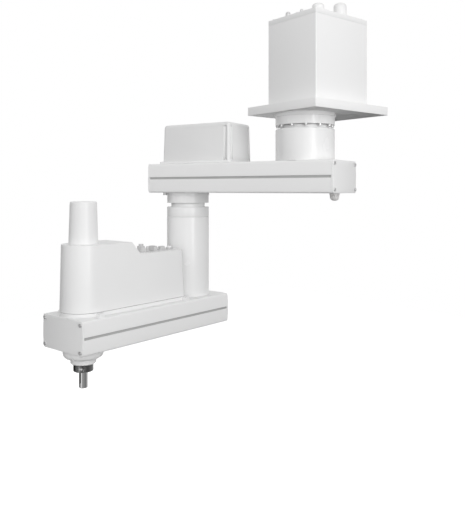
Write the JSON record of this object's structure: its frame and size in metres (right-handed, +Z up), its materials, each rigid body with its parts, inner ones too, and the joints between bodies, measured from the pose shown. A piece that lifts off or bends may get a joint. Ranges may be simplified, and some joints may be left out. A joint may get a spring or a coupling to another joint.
{
  "type": "ceiling-mounted scara robot",
  "caption": "Ceiling-mounted four-axis arm: base housing and plate, two beam links turning on vertical columns, and a vertical quill that slides and turns.",
  "frame": {"origin": "centre of the four mounting holes on the top face of the base plate", "axes": "+Z up out of the mounting face, +X to the front where the first joint is offset"},
  "size_m": [0.7085, 0.5547, 0.921],
  "materials": {
    "white_paint": "satin white powder coat",
    "white_cast": "satin white paint on castings and turned rings",
    "white_cover": "fine textured white moulding",
    "beam_coat": "smooth white coated extrusion",
    "slot_grey": "grey slot filler strip",
    "bright_screw": "bright plated screws",
    "machined_steel": "ground and turned steel",
    "dark_steel": "blackened steel",
    "chrome_shaft": "hard chromed ground shaft",
    "aluminium_raw": "machined aluminium",
    "black_motor": "black motor paint",
    "grey_plastic": "light grey connector plastic",
    "lamp_lens": "milky lamp lens",
    "belt_rubber": "black belt"
  },
  "bodies": {
    "base": {"base_plate": "white_cast", "base_housing": "white_paint", "base_lid": "white_paint", "base_screws": "bright_screw", "cable_gland": "white_cover", "lid_fittings": "aluminium_raw", "power_connector": "grey_plastic", "first_motor": "black_motor", "first_gear_unit": "machined_steel", "first_mount_ring": "white_cast", "first_bearing_case": "white_cast", "first_bearing_outer": "machined_steel", "first_case_screws": "bright_screw"},
    "upper_arm": {"first_bearing_inner": "machined_steel", "first_flex_cup": "machined_steel", "first_column": "white_cast", "upper_beam": "beam_coat", "upper_end_plates": "white_paint", "upper_beam_screws": "bright_screw", "upper_slot_strips": "slot_grey", "second_motor": "black_motor", "second_gear_unit": "machined_steel", "motor_cover": "white_cover", "motor_cover_foot": "white_cast", "motor_cover_screws": "bright_screw", "second_mount_ring": "white_cast", "second_bearing_case": "white_cast", "second_bearing_outer": "machined_steel", "second_case_screws": "bright_screw", "status_lamp": "lamp_lens", "stop_block": "aluminium_raw"},
    "forearm": {"second_bearing_inner": "machined_steel", "second_flex_cup": "machined_steel", "second_cap_ring": "white_cast", "second_column": "white_cast", "forearm_beam": "beam_coat", "forearm_end_plates": "white_paint", "forearm_beam_screws": "bright_screw", "forearm_slot_strips": "slot_grey", "forearm_cover": "white_cover", "cover_rim": "white_cast", "cover_rim_screws": "bright_screw", "screw_sleeve": "white_cover", "cover_fittings": "grey_plastic", "quill_motors": "black_motor", "drive_belts": "belt_rubber", "nut_housing": "aluminium_raw", "nut_housing_screws": "bright_screw", "quill_bearings": "machined_steel", "quill_housing": "white_cast", "quill_seal_ring": "white_cast"},
    "screw_nut": {"screw_nut": "machined_steel"},
    "spline_nut": {"spline_nut": "machined_steel"},
    "quill": {"quill_shaft": "chrome_shaft", "lower_collar": "dark_steel", "collar_screw": "bright_screw", "upper_collar": "dark_steel"},
    "third_motor_pulley": {"third_motor_pulley": "aluminium_raw"},
    "fourth_motor_pulley": {"fourth_motor_pulley": "aluminium_raw"},
    "brake_button": {"brake_button": "white_cover"}
  },
  "joints": [
    {"name": "first_joint", "type": "hinge", "parent": "base", "child": "upper_arm", "pos_m": [0.046, 0, -0.05], "axis": [0, 0, 1], "range_deg": [-153.9, 296.1]},
    {"name": "second_joint", "type": "hinge", "parent": "upper_arm", "child": "forearm", "pos_m": [0.15937, -0.33113, -0.24], "axis": [0, 0, 1], "range_deg": [-306.3, 143.7]},
    {"name": "quill_turn", "type": "hinge", "parent": "forearm", "child": "spline_nut", "pos_m": [0.50384, -0.26915, -0.56], "axis": [0, 0, 1], "range_deg": [-720, 720]},
    {"name": "quill_slide", "type": "slide", "parent": "spline_nut", "child": "quill", "axis": [0, 0, -1], "range_m": [0, 0.18]},
    {"name": "screw_nut_turn", "type": "hinge", "parent": "spline_nut", "child": "screw_nut", "pos_m": [0.50384, -0.26915, -0.48], "axis": [0, 0, 1], "range_deg": [-20, 3260]},
    {"name": "third_pulley_turn", "type": "hinge", "parent": "forearm", "child": "third_motor_pulley", "pos_m": [0.4005, -0.28774, -0.51], "axis": [0, 0, 1], "range_deg": [-20, 4880]},
    {"name": "fourth_pulley_turn", "type": "hinge", "parent": "forearm", "child": "fourth_motor_pulley", "pos_m": [0.307, -0.30457, -0.53], "axis": [0, 0, 1], "range_deg": [-1090, 1090]},
    {"name": "brake_press", "type": "slide", "parent": "forearm", "child": "brake_button", "axis": [0, 0, -1], "range_m": [0, 0.003], "stiffness_N_per_m": 600}
  ],
  "couplings": [
    {"joint": "screw_nut_turn", "follows": "quill_slide", "rad_per_m": 314.16},
    {"joint": "third_pulley_turn", "follows": "quill_slide", "rad_per_m": 471.24},
    {"joint": "fourth_pulley_turn", "follows": "quill_turn", "ratio": 1.5}
  ]
}
